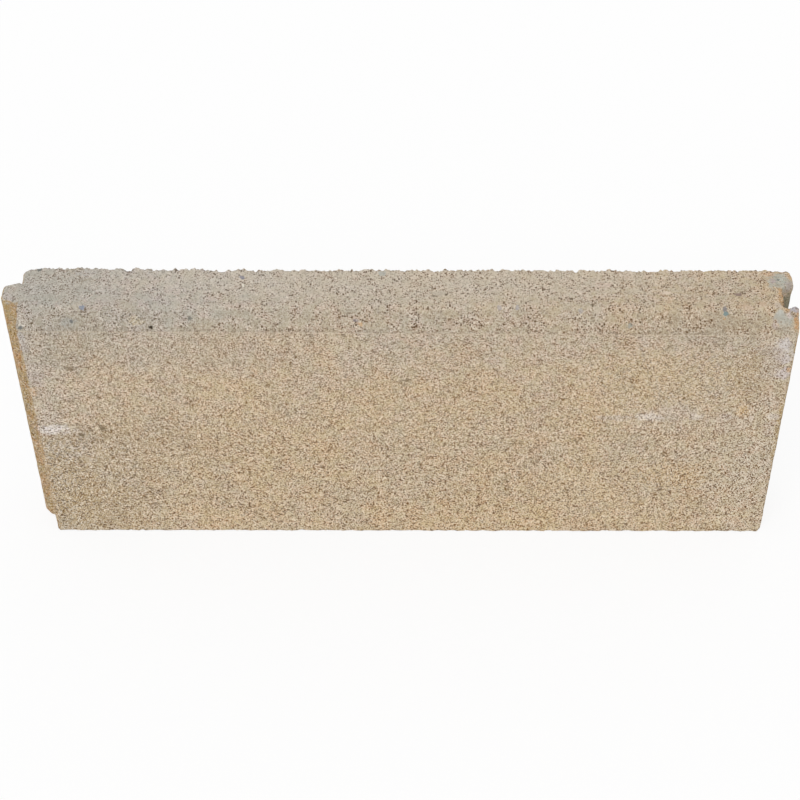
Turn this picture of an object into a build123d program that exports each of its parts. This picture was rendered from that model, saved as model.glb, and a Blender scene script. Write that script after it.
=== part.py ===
"""Concrete edging kerb with a splayed front arris and tongue-and-groove ends.

Millimetres. X runs along the kerb from the tongue end to the groove end, Y from the front face to the
back face, and Z is up. The origin is the middle of the base.
"""

import os

from build123d import *

# Mould box, which shapes the four upright sides
laying_length = 500.0  # shoulder to shoulder, without the tongue
thickness = 50.0
height = 200.0
corner_radius = 2.5  # upright arrises at the two ends

# Tamper shoe, which presses the top
splay_depth = 14.0  # reach of the sloped front arris across the top
splay_height = 11.5  # its reach down the front face
shoe_rim = 1.0  # ledge left at the foot of the slope by the gap between shoe and mould wall
top_arris_radius = 1.5  # edges of the top apart from the splay

# Production board, which the wet kerb is pressed on
base_arris_radius = 1.5

# Tongue on the left end, and the groove on the right end that takes the next kerb's tongue
tongue_root_width = 19.0
tongue_tip_width = 10.0
tongue_projection = 10.5
tongue_tip_radius = 2.5
flank_clearance = 3.5  # sideways play of the tongue in the groove, on each side
tip_clearance = 1.0  # between the tongue's tip and the groove's floor

cut_overrun = 5.0  # how far a cutting shape runs past the stone

# Places worked out from the sizes above
shoulder_x = laying_length / 2
face_y = thickness / 2
tongue_tip_x = -shoulder_x - tongue_projection
groove_floor_x = shoulder_x - tongue_projection - tip_clearance
groove_mouth_width = tongue_root_width + 2 * flank_clearance
groove_floor_width = tongue_tip_width + 2 * flank_clearance
groove_floor_radius = tongue_tip_radius + tip_clearance
splay_foot_z = height - splay_height


with BuildPart() as kerb:
    # Outline of the mould box, seen from above, with the tongue and the groove in its ends
    with BuildSketch() as mould_box:
        with BuildLine():
            Polyline(
                (-shoulder_x, -face_y),
                (shoulder_x, -face_y),
                (shoulder_x, -groove_mouth_width / 2),
                (groove_floor_x, -groove_floor_width / 2),
                (groove_floor_x, groove_floor_width / 2),
                (shoulder_x, groove_mouth_width / 2),
                (shoulder_x, face_y),
                (-shoulder_x, face_y),
                (-shoulder_x, tongue_root_width / 2),
                (tongue_tip_x, tongue_tip_width / 2),
                (tongue_tip_x, -tongue_tip_width / 2),
                (-shoulder_x, -tongue_root_width / 2),
                close=True,
            )
        make_face()
        front_corners = mould_box.vertices().group_by(Axis.Y)[0]
        fillet(front_corners, corner_radius)
        back_corners = mould_box.vertices().group_by(Axis.Y)[-1]
        fillet(back_corners, corner_radius)
        tongue_tip_corners = mould_box.vertices().group_by(Axis.X)[0]
        fillet(tongue_tip_corners, tongue_tip_radius)
        groove_floor_corners = mould_box.vertices().filter_by_position(
            Axis.X, groove_floor_x - tip_clearance, groove_floor_x + tip_clearance
        )
        fillet(groove_floor_corners, groove_floor_radius)
    extrude(amount=height)

    # Sloped front arris, ending on the rim that the tamper shoe leaves
    with BuildSketch(Plane.YZ) as splay:
        with BuildLine():
            Polyline(
                (-face_y + splay_depth, height),
                (-face_y + shoe_rim, splay_foot_z),
                (-face_y - cut_overrun, splay_foot_z),
                (-face_y - cut_overrun, height + cut_overrun),
                (-face_y + splay_depth, height + cut_overrun),
                close=True,
            )
        make_face()
    extrude(amount=shoulder_x + cut_overrun, both=True, mode=Mode.SUBTRACT)

    # Rounded edges of the top: along the back, and over the end of the tongue
    top = kerb.faces().sort_by(Axis.Z)[-1]
    back_edge = top.edges().sort_by(Axis.Y)[-1]
    fillet(back_edge, top_arris_radius)
    top = kerb.faces().sort_by(Axis.Z)[-1]
    tongue_edge = top.edges().sort_by(Axis.X)[0]
    fillet(tongue_edge, top_arris_radius)

    # Rounded edges of the base
    base = kerb.faces().sort_by(Axis.Z)[0]
    fillet(base.edges(), base_arris_radius)

kerb.part.label = "kerb_stone"

os.makedirs("parts", exist_ok=True)
export_step(kerb.part, "parts/kerb_stone.step")
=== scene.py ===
"""Sand-coloured concrete edging kerb on a white studio floor.

Metres, with Z up and the front face towards -Y.
"""
import math

import bmesh
import bpy
from mathutils import Euler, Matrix, Quaternion, Vector, noise


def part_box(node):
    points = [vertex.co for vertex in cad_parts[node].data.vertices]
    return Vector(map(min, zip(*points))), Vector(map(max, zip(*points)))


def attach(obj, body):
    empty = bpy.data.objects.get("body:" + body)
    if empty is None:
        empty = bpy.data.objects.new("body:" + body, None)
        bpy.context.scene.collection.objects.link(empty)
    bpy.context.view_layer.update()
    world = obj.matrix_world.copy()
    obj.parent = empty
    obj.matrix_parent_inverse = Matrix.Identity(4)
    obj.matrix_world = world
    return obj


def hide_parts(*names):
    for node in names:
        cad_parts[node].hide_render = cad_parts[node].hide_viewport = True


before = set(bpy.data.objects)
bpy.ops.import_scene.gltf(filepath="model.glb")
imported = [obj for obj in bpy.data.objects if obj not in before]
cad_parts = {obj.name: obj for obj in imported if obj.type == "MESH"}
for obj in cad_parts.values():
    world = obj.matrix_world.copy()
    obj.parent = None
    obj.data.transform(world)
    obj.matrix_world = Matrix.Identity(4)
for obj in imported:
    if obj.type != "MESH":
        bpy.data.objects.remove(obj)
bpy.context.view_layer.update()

# Kerb stone
# One casting of earth-moist concrete, pressed in a steel mould between a board and a tamper shoe, and
# stripped at once. Its skin is open grain, coarsest under the shoe, and its arrises crumbled in handling.
MM = 0.001
slope_height = 11.5 * MM
slope_depth = 14.0 * MM
low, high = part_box("kerb_stone")
shoulder_x = high.x
front_y = low.y
back_y = high.y
top_z = high.z
slope_foot_z = top_z - slope_height
slope_top_y = front_y + slope_depth
slope_middle_z = (slope_foot_z + top_z) / 2
tongue_middle_x = (low.x - shoulder_x) / 2

merge_gap = 0.01 * MM
flat_angle = math.radians(0.5)
stone = bmesh.new()
stone.from_mesh(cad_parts["kerb_stone"].data)
bmesh.ops.remove_doubles(stone, verts=stone.verts, dist=merge_gap)
bmesh.ops.dissolve_limit(stone, angle_limit=flat_angle, verts=stone.verts, edges=stone.edges)

widest_cell = 8.0 * MM
cut_gap = 0.001 * MM


def slices(start, end):
    """Places that divide a stretch of the stone into even slices, each about one wide cell thick."""
    count = round((end - start) / widest_cell)
    return [start + (end - start) * i / count for i in range(1, count)]


def score(axis, places):
    """Cuts new edges into the stone's skin where planes across the axis pass through it."""
    for place in places:
        spot = Vector((0, 0, 0))
        spot[axis] = place
        across = Vector((0, 0, 0))
        across[axis] = 1
        skin = stone.verts[:] + stone.edges[:] + stone.faces[:]
        bmesh.ops.bisect_plane(stone, geom=skin, dist=cut_gap, plane_co=spot, plane_no=across)


score(0, slices(-shoulder_x, shoulder_x) + [-shoulder_x, tongue_middle_x])
score(1, slices(slope_top_y, back_y) + slices(front_y, slope_top_y) + [slope_top_y])
score(2, slices(low.z, slope_foot_z) + [slope_foot_z, slope_middle_z])
many_sided = [face for face in stone.faces if len(face.verts) > 4]
bmesh.ops.triangulate(stone, faces=many_sided)

# Spacing of the mesh's points, and how far from an edge or a face each spacing holds
edge_spacing = widest_cell / 16
fine_spacing = widest_cell / 8
middle_spacing = widest_cell / 4
wide_spacing = widest_cell / 2
face_zone = 0.5 * MM
edge_zone = 2 * MM
rim_zone = 3 * MM
foot_zone = 7 * MM
back_zone = 9 * MM
top_zone = 14 * MM


def spacing(spot):
    """How far apart the mesh's points may be: closest at the back of the top, then on the pressed top."""
    below_top = top_z - spot.z
    before_back = back_y - spot.y
    if below_top < edge_zone and before_back < edge_zone:
        return edge_spacing
    if before_back < face_zone:
        if below_top < rim_zone:
            return fine_spacing
        return middle_spacing if below_top < back_zone else wide_spacing
    on_tongue_foot = spot.x < -shoulder_x and spot.z < foot_zone
    if below_top < top_zone or on_tongue_foot:
        return fine_spacing
    on_front = spot.y - front_y < face_zone
    by_rim = spot.z < rim_zone or abs(spot.x) > shoulder_x - rim_zone
    if on_front and by_rim:
        return fine_spacing
    return wide_spacing if spot.z < face_zone else middle_spacing


sweeps = 4
length_allowed_share = 1.5
sliver_gap = 0.12 * MM
for sweep in range(sweeps):
    long_edges = []
    for edge in stone.edges:
        middle = (edge.verts[0].co + edge.verts[1].co) / 2
        if edge.calc_length() > length_allowed_share * spacing(middle):
            long_edges.append(edge)
    bmesh.ops.subdivide_edges(stone, edges=long_edges, cuts=1, use_grid_fill=True)
bmesh.ops.remove_doubles(stone, verts=stone.verts, dist=sliver_gap)
many_sided = [face for face in stone.faces if len(face.verts) > 4]
bmesh.ops.triangulate(stone, faces=many_sided)
stone.normal_update()
end_skin = stone.verts.layers.float.new("end_skin")
above_foot = stone.verts.layers.float.new("above_foot")

# The green concrete slumped near the top: how far the back half of the tongue end leans out, and the lips
# of the groove lean in
tongue_slump = 2.6 * MM
shoulder_slump = 1.05 * MM
back_slump = 1.2 * MM
groove_slump = 2.6 * MM
# The tongue's end came out of the mould a little proud
tongue_growth = 0.8 * MM
# The front flank of the tongue spread at its foot
foot_spread = 2.6 * MM
# The tamper shoe sat out of level, so the foot of the slope drops from left to right
foot_drop = 2.7 * MM
# Where each of these starts and where it is full, first as heights
slump_heights = (top_z - 30 * MM, top_z - 5 * MM)
lip_heights = (top_z - 12 * MM, top_z - 2 * MM)
tilt_rise = (slope_foot_z - 9 * MM, slope_foot_z)
spread_heights = (16 * MM, 2 * MM)
# Past the left shoulder, towards the tongue's tip
tongue_root = (-0.5 * MM, 2 * MM)
shoulder_side = (-6 * MM, 0.0)
body_side = (1 * MM, -1 * MM)
tongue_tip = (2 * MM, 8 * MM)
tongue_flank = (10 * MM, 5 * MM)
# Along the kerb
left_stretch = (-150 * MM, -215 * MM)
groove_end = (232 * MM, 238 * MM)
# Across the kerb
slope_width = (slope_top_y, slope_top_y - 6 * MM)
shoulder_back = (9 * MM, 22 * MM)
tongue_back = (0.0, 5 * MM)
body_back = (5 * MM, 24 * MM)
tongue_front = (-2 * MM, -6 * MM)
groove_floor = (12 * MM, 7 * MM)
lip_inside = (5 * MM, 8 * MM)
lip_outside = (19 * MM, 13 * MM)
# Upright corners that have lost their edge near the top: end's X, reach along and across, roughness
rubbed_corners = [
    (-shoulder_x - shoulder_slump, 10.0 * MM, 6.0 * MM, 0.45),
    (shoulder_x, 6.5 * MM, 6.5 * MM, 0.05),
]
rubbed_heights = (top_z - 16 * MM, top_z - 2 * MM)
rubbed_grain = 2.2 * MM
# Places where an arris is out of shape, in mm: centre, half width along the kerb and reach of a bite, or
# of a knob where the centre lies in the stone
knocks = [
    ((243.0, -9.0, 200.5), 4.2, 4.2),
    ((251.5, -19.5, 195.0), 3.4, 3.4),
    ((247.6, -14.0, 197.4), 3.3, 3.3),
    ((250.5, -26.0, -0.5), 3.2, 3.2),
    ((-252.0, -26.5, -1.0), 4.6, 4.2),
    ((-263.5, -6.5, -1.0), 4.0, 3.0),
]
# Along the back of the top: X, half width and reach in mm, and the Y and Z of their centres
back_bites = [
    (-182.7, 2.4, 3.4), (-165.7, 1.5, 2.5), (-163.0, 1.5, 2.4), (-121.5, 3.6, 3.3), (-115.5, 1.1, 2.0),
    (-104.7, 1.8, 2.3), (-99.5, 1.2, 2.9), (-91.0, 0.9, 2.1), (-77.2, 1.3, 2.4), (4.0, 1.2, 2.1),
    (16.9, 0.9, 2.5), (109.3, 2.0, 3.2), (149.3, 1.4, 2.7), (193.3, 1.5, 2.1),
]
back_knobs = [
    (-222.8, 1.6, 1.5), (-190.0, 1.8, 1.8), (-187.6, 1.8, 2.0), (-177.2, 2.2, 1.9), (-151.9, 2.2, 2.1),
    (-140.1, 1.6, 1.7), (-134.8, 1.4, 1.7), (-45.8, 1.2, 1.6), (-36.7, 1.2, 1.6), (24.1, 1.2, 1.6),
    (97.3, 1.6, 1.6), (165.0, 1.6, 1.5), (201.2, 1.2, 1.5),
]
bite_line = (24.9, 199.9)
knob_line = (24.1, 199.1)
knocks += [((x, *bite_line), width, reach) for x, width, reach in back_bites]
knocks += [((x, *knob_line), width, reach) for x, width, reach in back_knobs]
knocks = [(Vector(centre) * MM, width * MM, reach * MM) for centre, width, reach in knocks]
break_grain = 1.6 * MM
break_rough_share = 0.3


def ease(value, start, end):
    """0 before start, 1 after end and smooth between them; start may lie above end."""
    share = min(max((value - start) / (end - start), 0), 1)
    return share * share * (3 - 2 * share)


def slump(spot):
    """Leans the tongue end out and the groove's lips in, spreads the tongue's foot and tilts the slope."""
    past_shoulder = -shoulder_x - spot.x
    high_up = ease(spot.z, *slump_heights)
    on_shoulder = ease(past_shoulder, *shoulder_side)
    lean_x = -shoulder_slump * high_up * on_shoulder * ease(spot.y, *shoulder_back)
    lean_x -= tongue_growth * ease(past_shoulder, *tongue_tip)
    on_tongue = ease(past_shoulder, *tongue_root)
    lean_y = tongue_slump * high_up * on_tongue * ease(spot.y, *tongue_back)
    near_end = ease(spot.x, *left_stretch) * ease(past_shoulder, *body_side)
    lean_y += back_slump * high_up * near_end * ease(spot.y, *body_back)
    at_foot = ease(spot.z, *spread_heights) * on_tongue * ease(past_shoulder, *tongue_flank)
    lean_y -= foot_spread * at_foot * ease(spot.y, *tongue_front)
    by_groove = ease(spot.z, *lip_heights) * ease(spot.x, *groove_end)
    lean_x += groove_slump * by_groove * ease(abs(spot.y), *groove_floor)
    lean_y -= groove_slump * by_groove * ease(spot.y, *lip_inside) * ease(spot.y, *lip_outside)
    by_slope_foot = ease(spot.z, *tilt_rise) * ease(spot.z, top_z, slope_foot_z)
    by_slope_foot *= ease(spot.y, *slope_width)
    tilt = -foot_drop * spot.x / (2 * shoulder_x) * by_slope_foot
    return spot + Vector((lean_x, lean_y, tilt))


def rub_corner(spot):
    """Rounds the two back corners of the top, where the kerb was stood and dragged."""
    for end_x, along, across, roughness in rubbed_corners:
        size = ease(spot.z, *rubbed_heights)
        size *= 1 + roughness * noise.noise(spot / rubbed_grain)
        middle_x = abs(end_x) - along * size
        middle_y = back_y - across * size
        side = math.copysign(1, end_x)
        past_x = side * spot.x - middle_x
        past_y = spot.y - middle_y
        if past_x > 0 and past_y > 0 and size > 0:
            reach = math.hypot(past_x / along, past_y / across)
            if reach > size:
                spot.x = side * (middle_x + past_x * size / reach)
                spot.y = middle_y + past_y * size / reach
    return spot


def knock(spot):
    """Pushes a point out of each bite or knob, which leaves a rough break or a lump."""
    for centre, width, reach in knocks:
        if abs(spot.x - centre.x) < width:
            away = spot - centre
            rough_reach = reach * (1 + break_rough_share * noise.noise(spot / break_grain))
            here = rough_reach * math.sqrt(1 - (away.x / width) ** 2)
            across = math.hypot(away.y, away.z)
            if 0 < across < here:
                spot.y = centre.y + away.y * here / across
                spot.z = centre.z + away.z * here / across
    return spot


# Sizes of the grain across the skin, and its heights under the shoe and on the walls
sand_size = 2.5 * MM
lump_size = 6.5 * MM
crumb_size = 1.8 * MM
pebble_size = 3.8 * MM
swell_size = 24 * MM
sand_height = 0.38 * MM
lump_height = 0.22 * MM
crumb_height = 0.28 * MM
swell_height = 0.15 * MM
wall_lump_height = 0.16 * MM
wall_pebble_height = 0.1 * MM
wall_swell_height = 0.12 * MM
# How steeply a face looks up where the shoe pressed it, and how near the slope's foot the rim is smooth
pressed_facing = (0.25, 0.6)
smooth_rim = (4 * MM, 1 * MM)
smooth_share = 0.75


def grain_relief(spot, facing):
    """Height of the open grain above the mould's face: coarse under the shoe, close on the walls."""
    sand = 0.5 - noise.voronoi(spot / sand_size)[0][0]
    lumps = noise.noise(spot / lump_size)
    crumbs = noise.noise(spot / crumb_size)
    pebbles = noise.noise(spot / pebble_size)
    swell = noise.noise(spot / swell_size)
    pressed = sand_height * sand + lump_height * lumps + crumb_height * crumbs + swell_height * swell
    wall = wall_lump_height * lumps + wall_pebble_height * pebbles + wall_swell_height * swell
    under_shoe = ease(facing.z, *pressed_facing)
    by_rim = ease(math.hypot(spot.y - front_y, spot.z - slope_foot_z), *smooth_rim)
    return (wall + (pressed - wall) * under_shoe) * (1 - smooth_share * by_rim)


# How near an edge it has crumbled, how near the back of the top it is ragged, and the sizes of the
# breaks, which are longer across the kerb than along it
crumbled_edge = (2.6 * MM, 0.4 * MM)
ragged_edge = (4 * MM, 1 * MM)
long_break = 8 * MM
short_break = 3.2 * MM
chip = 1.4 * MM
break_stretch = 3
long_break_depth = 0.8 * MM
short_break_depth = 0.9 * MM
chip_depth = 1.2 * MM
# Lumps stand less proud than the breaks go deep; breaks show on every edge, and more at the back
proud_share = 0.7
even_wear = 0.1 * MM
edge_share = 0.6
back_share = 0.6


def arris_loss(spot):
    """How far an outer edge has crumbled: ragged along the back of the top, slight elsewhere."""
    gaps = sorted(
        (
            abs(shoulder_x - abs(spot.x)),
            min(spot.y - front_y, back_y - spot.y),
            min(spot.z - low.z, top_z - spot.z),
        )
    )
    near_edge = ease(gaps[1], *crumbled_edge)
    top_back = ease(top_z - spot.z, *ragged_edge) * ease(back_y - spot.y, *ragged_edge)
    along = Vector((spot.x, spot.y / break_stretch, spot.z / break_stretch))
    ragged = long_break_depth * noise.noise(along / long_break)
    ragged += short_break_depth * noise.noise(along / short_break)
    ragged += chip_depth * noise.noise(along / chip)
    ragged *= 1.0 if ragged > 0 else proud_share
    return near_edge * (even_wear + ragged * (edge_share + back_share * top_back))


# How squarely a face looks along the kerb where it has the ends' skin, and where the groove's flanks lie
tongue_end_facing = (0.2, 0.38)
groove_end_facing = (0.5, 0.9)
groove_flank_facing = (0.28, 0.35)
flank_depth = 11 * MM
flank_half_width = 13.5 * MM
flank_skin_heights = (top_z - 8 * MM, top_z - 40 * MM)
for vert in stone.verts:
    spot = vert.co.copy()
    facing = vert.normal.copy()
    vert[end_skin] = ease(-facing.x, *tongue_end_facing) + ease(facing.x, *groove_end_facing)
    if spot.x > shoulder_x - flank_depth and abs(spot.y) < flank_half_width:
        groove_flank = ease(facing.x, *groove_flank_facing) * ease(spot.z, *flank_skin_heights)
        vert[end_skin] = max(vert[end_skin], groove_flank)
    vert[above_foot] = spot.z - slope_foot_z
    worn = knock(rub_corner(slump(spot)))
    worn += facing * (grain_relief(spot, facing) - arris_loss(spot))
    worn.z = max(worn.z, low.z)
    vert.co = worn

kerb_mesh = bpy.data.meshes.new("kerb")
stone.to_mesh(kerb_mesh)
stone.free()
for polygon in kerb_mesh.polygons:
    polygon.use_smooth = True
kerb = bpy.data.objects.new("kerb", kerb_mesh)
bpy.context.scene.collection.objects.link(kerb)
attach(kerb, "root")
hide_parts("kerb_stone")


def tone(red, green, blue):
    """A colour as a picture editor writes it, 0 to 255, turned into Blender's linear values."""
    linear = []
    for part in (red, green, blue):
        share = part / 255
        linear.append(share / 12.92 if share <= 0.04045 else ((share + 0.055) / 1.055) ** 2.4)
    return (*linear, 1.0)


def node(tree, kind, inputs=None, **settings):
    """Adds a node. Each input, by name or number, takes a value or another node's socket."""
    made = tree.nodes.new(kind)
    for name, value in settings.items():
        setattr(made, name, value)
    for name, value in (inputs or {}).items():
        if isinstance(value, bpy.types.NodeSocket):
            tree.links.new(value, made.inputs[name])
        else:
            made.inputs[name].default_value = value
    return made


def sum_of(tree, operation, *values):
    """One step of arithmetic on numbers or sockets."""
    return node(tree, "ShaderNodeMath", dict(enumerate(values)), operation=operation).outputs[0]


def between(tree, value, start, end, first=0.0, last=1.0):
    """Goes smoothly from first to last as the value goes from start to end."""
    inputs = {0: value, 1: start, 2: end, 3: first, 4: last}
    return node(tree, "ShaderNodeMapRange", inputs, interpolation_type="SMOOTHSTEP").outputs[0]


def blend(tree, share, first, second, mode="MIX"):
    """Mixes two colours by a share."""
    inputs = {0: share, 6: first, 7: second}
    return node(tree, "ShaderNodeMix", inputs, data_type="RGBA", blend_type=mode).outputs[2]


def steps(tree, value, stops):
    """A ramp of numbers along a value from 0 to 1."""
    ramp = node(tree, "ShaderNodeValToRGB", {0: value})
    points = ramp.color_ramp.elements
    points[0].position = stops[0][0]
    points[-1].position = stops[-1][0]
    for position, _ in stops[1:-1]:
        points.new(position)
    for point, (_, level) in zip(points, stops):
        point.color = (level, level, level, 1)
    return ramp.outputs[0]


def new_patch_group():
    """A spot of another colour: 1 inside an ellipsoid about a centre, 0 outside, with a ragged edge."""
    group = bpy.data.node_groups.new("Patch", "ShaderNodeTree")
    face = group.interface
    for name in ("Place", "Centre", "Reach"):
        face.new_socket(name, in_out="INPUT", socket_type="NodeSocketVector")
    for name in ("Ragged", "Inner", "Outer"):
        face.new_socket(name, in_out="INPUT", socket_type="NodeSocketFloat")
    face.new_socket("Mask", in_out="OUTPUT", socket_type="NodeSocketFloat")
    given = node(group, "NodeGroupInput").outputs
    ends = {0: given["Place"], 1: given["Centre"]}
    away = node(group, "ShaderNodeVectorMath", ends, operation="SUBTRACT").outputs[0]
    parts = {0: away, 1: given["Reach"]}
    share = node(group, "ShaderNodeVectorMath", parts, operation="DIVIDE").outputs[0]
    length = node(group, "ShaderNodeVectorMath", {0: share}, operation="LENGTH").outputs["Value"]
    edge = sum_of(group, "ADD", length, given["Ragged"])
    node(group, "NodeGroupOutput", {"Mask": between(group, edge, given["Outer"], given["Inner"])})
    return group


concrete = bpy.data.materials.new("pressed_concrete")
concrete.use_nodes = True
mix = concrete.node_tree
mix.nodes.clear()
place = node(mix, "ShaderNodeTexCoord").outputs["Object"]
axes = node(mix, "ShaderNodeSeparateXYZ", {0: place}).outputs


def soft_noise(scale, detail=2.0, stretch=(1.0, 1.0, 1.0)):
    """Soft noise with so many waves to the metre, about 0.5 on average."""
    where = node(mix, "ShaderNodeMapping", {"Vector": place, "Scale": stretch}).outputs[0]
    inputs = {"Vector": where, "Scale": scale, "Detail": detail}
    return node(mix, "ShaderNodeTexNoise", inputs).outputs["Fac"]


def grains(scale):
    """Cells with so many to the metre: how far a point is from its grain's middle, and random numbers."""
    made = node(mix, "ShaderNodeTexVoronoi", {"Vector": place, "Scale": scale})
    random_numbers = node(mix, "ShaderNodeSeparateXYZ", {0: made.outputs["Color"]}).outputs
    return made.outputs["Distance"], random_numbers


def plus(first, second):
    """The sum of two numbers."""
    return sum_of(mix, "ADD", first, second)


def minus(first, second):
    """The first number less the second."""
    return sum_of(mix, "SUBTRACT", first, second)


def times(first, second):
    """The product of two numbers."""
    return sum_of(mix, "MULTIPLY", first, second)


def part_way(share, first, second):
    """Goes from the first number to the second by a share."""
    return node(mix, "ShaderNodeMix", {0: share, 2: first, 3: second}).outputs[0]


# Where on the stone a point lies, the back face counted as below the slope up to its top edge
back_skin_y = (back_y - 1.2 * MM, back_y - 0.6 * MM)
back_skin_z = (top_z - 0.8 * MM, top_z - 2 * MM)
moulded_top_z = slope_foot_z - 4 * MM
on_back = between(mix, axes["Y"], *back_skin_y)
on_back = times(on_back, between(mix, axes["Z"], *back_skin_z))
below_slope = sum_of(mix, "MINIMUM", axes["Z"], moulded_top_z)
seen_height = part_way(on_back, axes["Z"], below_slope)
height_share = sum_of(mix, "DIVIDE", seen_height, top_z)
length_share = sum_of(mix, "DIVIDE", plus(axes["X"], shoulder_x), 2 * shoulder_x)

# Ground colour: lime-grey at the top left, warming to sand along the top and down the front
lime_grey = tone(189, 181, 171)
warm_sand = tone(203, 178, 141)
warm_down_front = steps(
    mix, height_share, [(0.0, 0.82), (0.4, 0.82), (0.7, 0.75), (0.88, 0.55), (1.0, 0.48)]
)
warm_along_front = steps(
    mix, length_share, [(0.0, 0.5), (0.1, 0.78), (0.3, 1.0), (0.75, 1.0), (0.87, 0.87), (1.0, 0.75)]
)
warm_along_top = steps(
    mix, length_share, [(0.0, 0.02), (0.14, 0.09), (0.5, 0.41), (0.8, 0.62), (1.0, 0.64)]
)
on_top = between(mix, seen_height, moulded_top_z, slope_middle_z)
warm_front = times(warm_down_front, warm_along_front)
warm = part_way(on_top, warm_front, warm_along_top)
wide_drift = 16
close_drift = 70
drift_share = 0.17
drift = plus(soft_noise(wide_drift), soft_noise(close_drift, 1.0))
warm = plus(warm, between(mix, drift, 0.6, 1.4, -drift_share, drift_share))
colour = blend(mix, warm, lime_grey, warm_sand)
pink_cast = (1.034, 0.976, 1.0, 1.0)
green_cast = (0.976, 1.006, 0.974, 1.0)
cast_patches = 130
cast = blend(mix, between(mix, soft_noise(cast_patches, 3.0), 0.35, 0.65), green_cast, pink_cast)
colour = blend(mix, 1.0, colour, cast, "MULTIPLY")
# Painted shade by height: the slope and the top are darkened to offset the extra light they catch from the
# lamp, and the lowest band of the front is made lighter
front_levels = [(0.0, 1.09), (0.08, 1.07), (0.18, 0.99), (0.938, 0.98)]
slope_painted_shade_levels = [(0.946, 0.875), (0.985, 0.865), (0.995, 0.965)]
painted_shade_by_height = steps(mix, height_share, front_levels + slope_painted_shade_levels)
colour = blend(mix, 1.0, colour, painted_shade_by_height, "MULTIPLY")

# Ends: rubbed skin off the mould's end plates, iron-stained orange and olive
at_end = node(mix, "ShaderNodeAttribute", attribute_name="end_skin").outputs["Fac"]
rust_sand = tone(183, 139, 86)
olive_sand = tone(170, 141, 86)
iron_patches = 110
end_strength = 0.92
end_colour = blend(mix, between(mix, soft_noise(iron_patches), 0.34, 0.56), rust_sand, olive_sand)
colour = blend(mix, times(at_end, end_strength), colour, end_colour)

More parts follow.
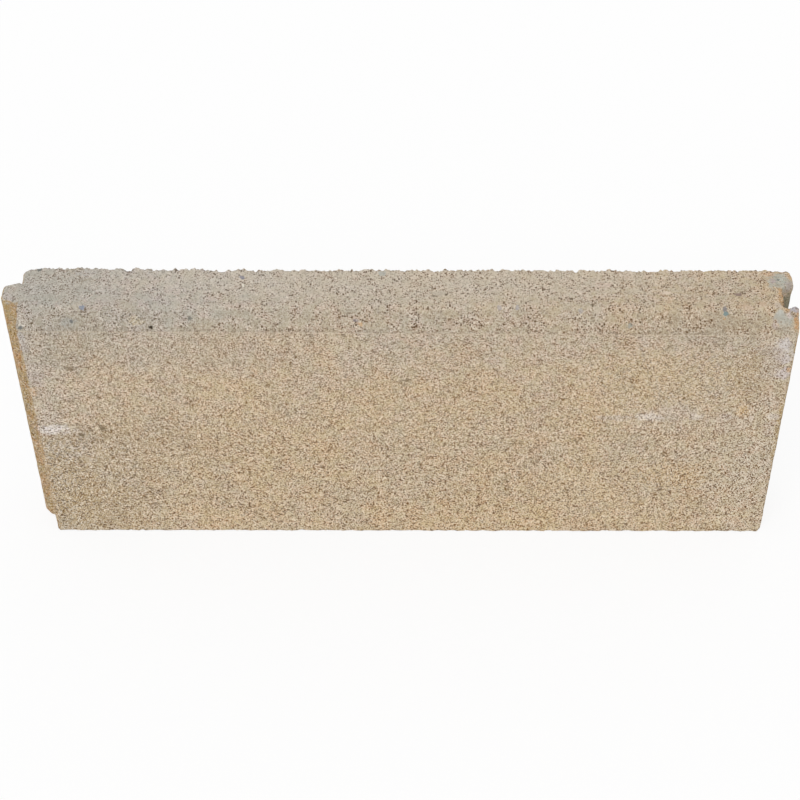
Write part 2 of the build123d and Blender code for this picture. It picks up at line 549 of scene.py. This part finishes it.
# Cement smears, lime bloom and rust: centre and reach in mm, colour, strength, and how far each hides
# the grain
stains = [
    ((241, 13.5, 199), (7.5, 8.5, 6), tone(170, 172, 162), 0.95, 0.6),
    ((242.8, 14.6, 200), (2.0, 3.0, 4), tone(186, 189, 178), 0.9, 0.6),
    ((237.2, 13.5, 200), (1.8, 3.0, 4), tone(182, 166, 166), 0.8, 0.3),
    ((247.2, 10.0, 198.5), (3.4, 4.0, 5.0), tone(176, 166, 160), 0.8, 0.3),
    ((248.6, 18.5, 199.5), (2.0, 4.0, 3), tone(204, 170, 130), 0.8, 0.3),
    ((235, 20.5, 200), (3.5, 2.5, 3), tone(196, 156, 122), 0.6, 0.0),
    ((238, -15, 196.5), (3.6, 3.2, 4), tone(192, 192, 184), 0.95, 0.75),
    ((241.5, -18.0, 194), (6.4, 5.6, 5), tone(178, 176, 165), 0.92, 0.7),
    ((241, -22.5, 190), (5.0, 3.5, 3), tone(182, 172, 154), 0.7, 0.2),
    ((234.6, -20, 192), (2.2, 3.0, 3), tone(186, 170, 164), 0.7, 0.2),
    ((236.7, -10.8, 200), (2.6, 2.6, 3), tone(198, 184, 168), 0.8, 0.3),
    ((247.5, -12.6, 199), (4.4, 2.4, 3), tone(186, 182, 190), 0.9, 0.4),
    ((243.6, -15.5, 196), (2.0, 1.6, 2), tone(210, 196, 190), 0.9, 0.4),
    ((249.3, -18.5, 192.5), (2.6, 5.5, 6), tone(190, 146, 100), 0.9, 0.0),
    ((240.5, -0.5, 198), (2.6, 8.0, 6), tone(196, 154, 106), 0.85, 0.0),
    ((242.2, -11.5, 198.5), (2.0, 2.6, 4), tone(200, 164, 122), 0.85, 0.0),
    # The next two are cement smear on the groove's rear flank, painted dark grey-green with painted shade
    # over the smear's own colour
    ((249, 12.0, 181), (5.5, 5.5, 11), tone(112, 112, 94), 0.95, 0.6),
    ((250, 12.5, 150), (8.0, 5.0, 40), tone(140, 134, 112), 0.7, 0.4),
    ((224, -25, 156), (17, 3, 23), tone(170, 147, 112), 0.5, 0.0),
    ((241.4, -25, 178.5), (5.4, 3, 6.4), tone(208, 201, 198), 0.95, 0.4),
    ((244, -25, 167), (5.2, 3, 5.8), tone(208, 198, 194), 0.95, 0.35),
    ((238, -25, 173), (4.0, 3, 6.0), tone(192, 180, 172), 0.7, 0.1),
    ((244, -25, 154), (5.0, 3, 5.6), tone(206, 194, 190), 0.95, 0.3),
    ((236, -25, 165), (7.0, 3, 16), tone(188, 172, 158), 0.5, 0.0),
    ((248, -25, 157.4), (1.6, 3, 2.6), tone(200, 156, 116), 0.8, 0.0),
    ((249.6, -25, 98), (3.4, 3, 40), tone(176, 148, 96), 0.7, 0.0),
    ((-247.3, -25, 184), (2.4, 3, 4.5), tone(202, 198, 202), 0.85, 0.2),
    ((-246.5, -25, 176), (3.2, 3, 5.0), tone(194, 182, 178), 0.8, 0.1),
    ((-243, -25, 150), (5.0, 3, 10), tone(192, 178, 168), 0.75, 0.1),
    ((-246, -25, 137), (3.0, 3, 4.0), tone(200, 162, 120), 0.6, 0.0),
    ((-218, -25, 95), (30, 3, 10), tone(158, 138, 110), 0.45, 0.0),
    ((-226, -25, 164), (14, 3, 9), tone(162, 150, 132), 0.4, 0.0),
    ((-185, -16, 195), (34, 9, 10), tone(170, 158, 140), 0.4, 0.0),
    ((-66, -25, 183), (20, 3, 6), tone(200, 184, 162), 0.35, 0.0),
    ((180, -25, 58), (26, 3, 14), tone(206, 176, 130), 0.45, 0.0),
    ((165, -25, 148), (46, 3, 24), tone(200, 174, 130), 0.4, 0.0),
    ((-234, -25, 104.6), (6.5, 3, 3.2), tone(184, 180, 166), 0.6, 0.3),
    ((-238.5, -25, 101.2), (13, 3, 4.4), tone(236, 229, 227), 0.95, 0.0),
    ((-240, -25, 112), (7.0, 3, 7.0), tone(192, 178, 166), 0.6, 0.0),
    ((-233, -25, 100.3), (4.0, 3, 1.6), tone(204, 190, 176), 0.7, 0.1),
    ((160, -25, 114.4), (10, 3, 3.8), tone(224, 213, 204), 0.9, 0.1),
    ((138, -25, 113.4), (12, 3, 2.6), tone(208, 196, 184), 0.75, 0.1),
    ((178, -25, 118), (14, 3, 8.0), tone(194, 180, 170), 0.5, 0.1),
    ((192, -25, 114.3), (5.0, 3, 3.0), tone(214, 203, 192), 0.85, 0.1),
    ((212, -25, 114.4), (4.0, 3, 3.0), tone(214, 203, 192), 0.85, 0.1),
    ((242.6, -25, 114.5), (4.0, 3, 2.8), tone(214, 202, 190), 0.8, 0.1),
    ((222.5, -25, 119), (5.0, 3, 5.5), tone(208, 172, 122), 0.75, 0.0),
    ((215, -25, 108), (16, 3, 9.0), tone(194, 178, 164), 0.4, 0.0),
    ((0, 14, 200), (190, 22, 4), tone(210, 198, 181), 0.5, 0.0),
    ((-228, 6, 199), (30, 20, 7), tone(176, 173, 164), 0.6, 0.0),
    ((-228, -25, 22), (50, 3, 60), tone(172, 147, 105), 0.55, 0.0),
    ((-238, -25, 46), (18, 3, 42), tone(184, 159, 116), 0.45, 0.0),
    ((-249.5, -25, 55), (3.4, 3, 60), tone(186, 150, 106), 0.5, 0.0),
    ((-140, -25, 172), (60, 3, 20), tone(186, 172, 154), 0.4, 0.0),
    ((-222, -21, 184), (40, 10, 26), tone(166, 156, 138), 0.5, 0.0),
    ((194, -20, 190), (36, 9, 13), tone(165, 149, 127), 0.55, 0.0),
    ((118, -25, 44), (34, 3, 18), tone(212, 189, 154), 0.55, 0.0),
    ((-172, -25, 84), (48, 3, 26), tone(176, 154, 122), 0.4, 0.0),
    ((127, 9.4, 200), (5.0, 3.5, 3), tone(206, 180, 166), 0.5, 0.1),
    ((-216.3, -19.6, 192.4), (5.0, 3.2, 3.4), tone(164, 162, 154), 0.75, 0.1),
    ((-230, -8, 200), (6.0, 4.0, 3), tone(172, 170, 158), 0.5, 0.0),
    ((-210, 21, 200), (7.0, 3.5, 3), tone(186, 182, 178), 0.5, 0.2),
    ((-173.5, -18.6, 193.3), (5.0, 3.0, 3), tone(196, 178, 140), 0.5, 0.0),
]
patch_group = new_patch_group()


def patch(centre, reach, ragged, inner, outer):
    """Where one patch lies on the stone: whole to the inner share of its reach, gone at the outer."""
    inputs = {
        "Place": place,
        "Centre": [part * MM for part in centre],
        "Reach": [part * MM for part in reach],
        "Ragged": ragged,
        "Inner": inner,
        "Outer": outer,
    }
    return node(mix, "ShaderNodeGroup", inputs, node_tree=patch_group).outputs["Mask"]


stain_edge_waves = 330
stain_edge_share = 0.35
stain_edge = (0.6, 1.3)
ragged_by = soft_noise(stain_edge_waves, 3.0)
stain_ragged = between(mix, ragged_by, 0.3, 0.7, -stain_edge_share, stain_edge_share)
smeared = 0.0
for centre, reach, stain_colour, strength, hides in stains:
    shown = patch(centre, reach, stain_ragged, *stain_edge)
    colour = blend(mix, times(shown, strength), colour, stain_colour)
    if hides:
        smeared = sum_of(mix, "MAXIMUM", smeared, times(shown, hides))

# How much grain shows: most low on the front, patchy under the shoe, little on the flat faces of larger
# stones
foot_height = node(mix, "ShaderNodeAttribute", attribute_name="above_foot").outputs["Fac"]
under_shoe = sum_of(mix, "GREATER_THAN", minus(foot_height, on_back), 0.0)
grain_by_height = steps(
    mix,
    height_share,
    [(0.0, 1.28), (0.3, 1.36), (0.5, 1.24), (0.7, 1.06), (0.935, 0.94), (0.95, 0.76), (1.0, 0.68)],
)
pits_by_height = steps(
    mix,
    height_share,
    [(0.0, 0.92), (0.3, 0.92), (0.5, 0.82), (0.7, 0.66), (0.935, 0.52), (0.95, 0.86), (1.0, 0.82)],
)
calm_patches = 130
calm_least = minus(0.84, times(under_shoe, 0.29))
calm_most = plus(1.1, times(under_shoe, 0.1))
calm = between(mix, soft_noise(calm_patches, 1.0), 0.3, 0.6, calm_least, calm_most)
limed = between(mix, warm, 0.0, 0.4, 0.86, 1.0)
stone_count = 105
stone_edge_waves = 420
stone_edge_share = 0.3
bare_share = 0.6
end_wear_share = 0.25
stone_far, stone_random = grains(stone_count)
stone_size = between(mix, stone_random["Y"], 0.72, 1.0, 0.0, 0.3)
stone_edge = minus(plus(stone_far, times(soft_noise(stone_edge_waves), stone_edge_share)), stone_size)
stone_face = between(mix, stone_edge, 0.2, 0.08)
bare = minus(1.0, times(stone_face, bare_share))
end_wear = minus(1.0, times(at_end, end_wear_share))
shown_grain = times(times(times(calm, limed), end_wear), times(bare, minus(1.0, smeared)))
grain_contrast = times(grain_by_height, shown_grain)
pit_contrast = times(pits_by_height, shown_grain)

# Foot of the slope, with a broken dark line of painted shade in the crease there, where the pits open
# wider too; back of the top, where the pits open wider; and a painted contact shadow along the foot of the
# stone
breaks_along = 45
front_reach = (front_y + 3.5 * MM, front_y + 2.5 * MM)
crease_height = 0.7 * MM
crease_width = (1.0 * MM, 0.3 * MM)
crease_shade_colour = tone(92, 74, 48)
crease_shade_strength = 0.12
crease_opening = 0.06
base_heights = (1.6 * MM, 0.4 * MM)
base_shadow_colour = tone(112, 102, 90)
base_shadow_strength = 0.3
back_reach = (back_y - 2.5 * MM, back_y - 0.5 * MM)
back_opening = 0.2
broken_row = soft_noise(breaks_along, 2.0, (1.0, 0.0, 0.0))
at_front = between(mix, axes["Y"], *front_reach)
from_crease = sum_of(mix, "ABSOLUTE", minus(foot_height, crease_height))
crease = times(between(mix, from_crease, *crease_width), at_front)
crease = times(crease, between(mix, broken_row, 0.3, 0.6, 0.4, 1.0))
colour = blend(mix, times(crease, crease_shade_strength), colour, crease_shade_colour)
# Painted contact shadow: the lowest mm or so of the stone darkened grey
base_shadow_row = between(mix, axes["Z"], *base_heights)
colour = blend(mix, times(base_shadow_row, base_shadow_strength), colour, base_shadow_colour)
back_row = between(mix, axes["Y"], *back_reach)
opened = plus(times(crease, crease_opening), times(back_row, back_opening))

# Sand: most grains near the ground colour, some dark, some pale
sand_count = 1700
dark_power = 2.5
dark_strength = 1.4
pale_strength = 0.74
dark_grain = blend(mix, warm, tone(86, 68, 44), tone(114, 72, 5))
pale_grain = blend(mix, warm, tone(229, 224, 214), tone(234, 220, 193))
grain_far, grain_random = grains(sand_count)
darkness = between(mix, grain_random["X"], 0.5, 0.0)
dark_share = times(sum_of(mix, "POWER", darkness, dark_power), dark_strength)
pale_share = between(mix, grain_random["X"], 0.5, 1.0, 0.0, pale_strength)
colour = blend(mix, times(dark_share, grain_contrast), colour, dark_grain)
colour = blend(mix, times(pale_share, grain_contrast), colour, pale_grain)

# Gaps between the grains: small pits, in coarser grain under the shoe, where broken lines run round the
# larger grains too. Both are darkened with painted shade, as shade in the hollows, and each pit has a pale
# ring of painted highlight round it
pit_count = 940.0
fewer_under_shoe = 240.0
pit_shade_strength = 0.95
pit_rim_highlight_strength = 0.55
bend_waves = 700
bend_reach = 1.2 * MM
gap_count = 330
gap_patches = 260
widest_gap = 0.04
pit_shade_colour = blend(mix, warm, tone(76, 58, 32), tone(100, 60, 0))
pit_far, pit_random = grains(minus(pit_count, times(under_shoe, fewer_under_shoe)))
first_pit = minus(0.74, times(under_shoe, 0.21))
widest_pit = minus(0.8, times(under_shoe, 0.19))
pit_size = between(mix, pit_random["X"], first_pit, 1.0, times(under_shoe, 0.05), widest_pit)
pit_size = plus(pit_size, opened)
pit = between(mix, minus(pit_size, pit_far), 0.0, 0.1)
# Pale ring of painted highlight round each pit, standing in for the lit side of the grain
pit_rim_highlight = times(between(mix, minus(pit_far, pit_size), 0.35, 0.1), between(mix, pit_size, 0.1, 0.3))
colour = blend(mix, times(times(pit_rim_highlight, pit_rim_highlight_strength), pit_contrast), colour, pale_grain)
bend_noise = {"Vector": place, "Scale": bend_waves, "Detail": 1.0}
bend = node(mix, "ShaderNodeTexNoise", bend_noise).outputs["Color"]
bend = node(mix, "ShaderNodeVectorMath", {0: bend, "Scale": bend_reach}, operation="SCALE").outputs[0]
bent_place = node(mix, "ShaderNodeVectorMath", {0: place, 1: bend}, operation="ADD").outputs[0]
gap_cells = {"Vector": bent_place, "Scale": gap_count}
gap = node(mix, "ShaderNodeTexVoronoi", gap_cells, feature="DISTANCE_TO_EDGE").outputs["Distance"]
gap_width = between(mix, soft_noise(gap_patches, 1.0), 0.58, 0.78, 0.0, widest_gap)
gap_width = times(gap_width, under_shoe)
gap_line = between(mix, minus(gap_width, gap), 0.0, 0.05)
hollows = sum_of(mix, "MAXIMUM", pit, gap_line)
painted_pit_shade = times(hollows, pit_contrast)
colour = blend(mix, times(painted_pit_shade, pit_shade_strength), colour, pit_shade_colour)

# The rim at the foot of the slope gets a pale painted highlight where it is whole
rim_depth = 0.55 * MM
rim_width = (0.65 * MM, 0.3 * MM)
rim_highlight_colour = tone(214, 199, 176)
from_rim = sum_of(mix, "ABSOLUTE", plus(foot_height, rim_depth))
rim_highlight = times(between(mix, from_rim, *rim_width), at_front)
rim_highlight = times(rim_highlight, between(mix, broken_row, 0.35, 0.6, 0.2, 0.45))
colour = blend(mix, rim_highlight, colour, rim_highlight_colour)

# Single stones and deep holes that show in the skin, the holes and the edges beside some stones drawn dark
# brown as painted shade: centre and reach in mm, colour, strength
stones = [
    ((-208, -12.5, 198.8), (1.7, 1.6, 1.6), tone(136, 144, 158), 0.85),
    ((-108, 16.4, 200), (1.8, 1.8, 2.0), tone(140, 138, 148), 0.85),
    ((-106.7, 8.4, 200), (0.7, 1.6, 2.0), tone(232, 226, 212), 0.9),
    ((-166.6, -5.8, 200), (2.8, 1.8, 2.0), tone(190, 184, 174), 0.8),
    ((-139, -17.5, 194), (1.7, 1.4, 1.6), tone(112, 110, 102), 0.75),
    ((-214.4, -19.2, 192.8), (1.3, 1.1, 1.2), tone(104, 106, 106), 0.8),
    ((-30.2, -20.2, 191.9), (1.5, 1.2, 1.2), tone(212, 174, 130), 0.6),
    ((-33.2, -18.5, 193.3), (1.5, 1.2, 1.2), tone(146, 138, 142), 0.6),
    ((-163.8, -22, 190.3), (1.6, 1.2, 1.1), tone(54, 42, 28), 0.95),
    ((-246.9, -22.6, 189.9), (1.8, 1.4, 1.4), tone(104, 108, 106), 0.8),
    ((-240.9, 24, 199.5), (1.8, 1.6, 2.0), tone(100, 104, 100), 0.8),
    ((-17, 20.5, 200), (2.4, 2.6, 2.0), tone(178, 180, 172), 0.7),
    ((20.2, 1.0, 200), (5.0, 2.4, 2.0), tone(192, 181, 164), 0.75),
    ((17.0, -1.9, 200), (2.2, 0.6, 1.5), tone(96, 82, 66), 0.85),
    ((24.6, -0.6, 200), (1.0, 0.9, 1.5), tone(96, 82, 66), 0.85),
    ((58.5, -12.3, 199), (1.6, 1.4, 1.6), tone(168, 160, 162), 0.6),
    ((70, -11.8, 199.3), (1.6, 1.4, 1.6), tone(168, 164, 170), 0.6),
    ((110.3, -13.6, 197.7), (1.7, 1.4, 1.6), tone(170, 165, 164), 0.6),
    ((104.9, -4.6, 200), (1.3, 1.1, 1.5), tone(104, 88, 66), 0.9),
    ((118, -10.4, 200), (1.1, 0.9, 1.5), tone(104, 88, 66), 0.9),
    ((121, -13, 198), (2.6, 2.0, 2.0), tone(198, 186, 166), 0.8),
    ((167, 1.7, 200), (3.0, 1.4, 1.5), tone(222, 205, 186), 0.85),
    ((142, -20.8, 191.4), (2.2, 1.5, 1.5), tone(150, 150, 140), 0.75),
    ((203.0, -12.8, 198.5), (1.5, 1.7, 1.8), tone(128, 124, 128), 0.75),
    ((203.2, -14.9, 196.6), (1.5, 1.5, 1.6), tone(116, 142, 144), 0.8),
    ((202.3, -17.2, 194.6), (1.2, 0.9, 0.9), tone(192, 152, 100), 0.55),
    ((212.5, 0, 200), (2.0, 1.5, 1.5), tone(140, 118, 112), 0.8),
    ((240.5, 14.9, 200), (0.8, 1.0, 1.5), tone(120, 124, 120), 0.85),
    ((-219.4, -25, 157.4), (3.8, 2.0, 2.3), tone(118, 100, 78), 0.6),
    ((-205.4, -25, 102.8), (2.3, 2.0, 3.0), tone(118, 101, 78), 0.6),
    ((-61.5, -25, 186.4), (1.8, 2.0, 1.4), tone(112, 92, 68), 0.5),
    ((-41, -25, 186.6), (1.5, 2.0, 1.2), tone(112, 92, 68), 0.5),
    ((-1.2, -25, 147.4), (2.2, 2.0, 1.5), tone(104, 80, 52), 0.65),
    ((-220.4, -25, 96.3), (1.7, 2.0, 1.3), tone(108, 91, 68), 0.8),
    ((220.8, -25, 22.7), (1.3, 2.0, 1.3), tone(226, 206, 184), 0.9),
    ((228.8, -25, 113.5), (1.6, 2.0, 1.6), tone(222, 206, 188), 0.8),
    ((170.5, -25, 150.8), (1.0, 2.0, 1.0), tone(232, 214, 192), 0.9),
]
rough_outline_waves = 750
rough_outline_share = 0.45
stone_outline = (0.85, 1.15)
ragged_by = soft_noise(rough_outline_waves)
stone_ragged = between(mix, ragged_by, 0.25, 0.75, -rough_outline_share, rough_outline_share)
for centre, reach, stone_colour, strength in stones:
    shown = times(patch(centre, reach, stone_ragged, *stone_outline), strength)
    colour = blend(mix, shown, colour, stone_colour)

# Relief of the grain, and a dry skin with hardly any shine
relief_height = 0.3 * MM
relief_strength = 0.6
hollow_depth = 1.2
grain_dome = between(mix, grain_far, 0.75, 0.0)
relief = minus(grain_dome, times(hollows, hollow_depth))
bumps = {"Height": relief, "Strength": relief_strength, "Distance": relief_height}
bump = node(mix, "ShaderNodeBump", bumps).outputs[0]
finish = {"Base Color": colour, "Normal": bump, "Roughness": 0.92, "Specular IOR Level": 0.25}
skin = node(mix, "ShaderNodeBsdfPrincipled", finish).outputs[0]
node(mix, "ShaderNodeOutputMaterial", {"Surface": skin})
kerb_mesh.materials.clear()
kerb_mesh.materials.append(concrete)

# Floor
# A white matt studio sheet under the kerb. It takes the kerb's soft shadow and bounces light onto its
# front.
floor_size = 8.0
sheet = bmesh.new()
bmesh.ops.create_grid(sheet, x_segments=1, y_segments=1, size=floor_size / 2)
floor_mesh = bpy.data.meshes.new("floor")
sheet.to_mesh(floor_mesh)
sheet.free()
floor = bpy.data.objects.new("floor", floor_mesh)
bpy.context.scene.collection.objects.link(floor)


def looked_at(tree):
    """1 for a ray that shows the background: from the camera, off a shine or through something clear."""
    ray = node(tree, "ShaderNodeLightPath").outputs
    seen = sum_of(tree, "MAXIMUM", ray["Is Camera Ray"], ray["Is Glossy Ray"])
    return sum_of(tree, "MAXIMUM", seen, ray["Is Transmission Ray"])


white_sheet = bpy.data.materials.new("white_sheet")
white_sheet.use_nodes = True
paper = white_sheet.node_tree
paper.nodes.clear()
paper_white = (0.95, 0.95, 0.95, 1.0)
pure_white = (1.0, 1.0, 1.0, 1.0)
glow_share = 0.85
matt = node(paper, "ShaderNodeBsdfDiffuse", {"Color": paper_white}).outputs[0]
glow = node(paper, "ShaderNodeEmission", {"Color": pure_white, "Strength": 1.0}).outputs[0]
seen_glow = sum_of(paper, "MULTIPLY", looked_at(paper), glow_share)
sheet_mix = node(paper, "ShaderNodeMixShader", {0: seen_glow, 1: matt, 2: glow}).outputs[0]
node(paper, "ShaderNodeOutputMaterial", {"Surface": sheet_mix})
floor_mesh.materials.append(white_sheet)

# Light
# An even white room, and one wide soft lamp from the upper left in front, about equal on the top and the
# front.
wall_light = {"Color": pure_white, "Strength": 0.8}
backdrop_light = {"Color": pure_white, "Strength": 1.0}
room = bpy.data.worlds.new("white_room")
room.use_nodes = True
air = room.node_tree
air.nodes.clear()
walls = node(air, "ShaderNodeBackground", wall_light).outputs[0]
backdrop = node(air, "ShaderNodeBackground", backdrop_light).outputs[0]
room_mix = node(air, "ShaderNodeMixShader", {0: looked_at(air), 1: walls, 2: backdrop}).outputs[0]
node(air, "ShaderNodeOutputWorld", {"Surface": room_mix})
bpy.context.scene.world = room

lamp_data = bpy.data.lights.new("soft_lamp", "SUN")
lamp_data.energy = 0.85
lamp_data.angle = math.radians(35)
lamp = bpy.data.objects.new("soft_lamp", lamp_data)
lamp_direction = Vector((0.35, 0.62, -0.7))
lamp.rotation_euler = lamp_direction.to_track_quat("-Z", "Y").to_euler()
bpy.context.scene.collection.objects.link(lamp)

# Camera
# Looks down on the front and the top from about a metre and a quarter, as the photograph does.
camera_data = bpy.data.cameras.new("camera")
camera_data.lens = 78.49
camera_data.sensor_width = 36.0
camera_data.shift_x = -0.0347
camera_data.shift_y = -0.0038
camera = bpy.data.objects.new("camera", camera_data)
camera.location = Vector((11.1, -857.0, 927.3)) * MM
looking_down = 43.695
turned_right = 0.129
tipped_left = 0.194
aim = Euler((math.radians(90 - looking_down), 0.0, math.radians(-turned_right)))
tip = Quaternion((0, 0, 1), math.radians(tipped_left))
camera.rotation_euler = (aim.to_quaternion() @ tip).to_euler()
bpy.context.scene.collection.objects.link(camera)
bpy.context.scene.camera = camera
bpy.context.scene.view_settings.view_transform = "Standard"
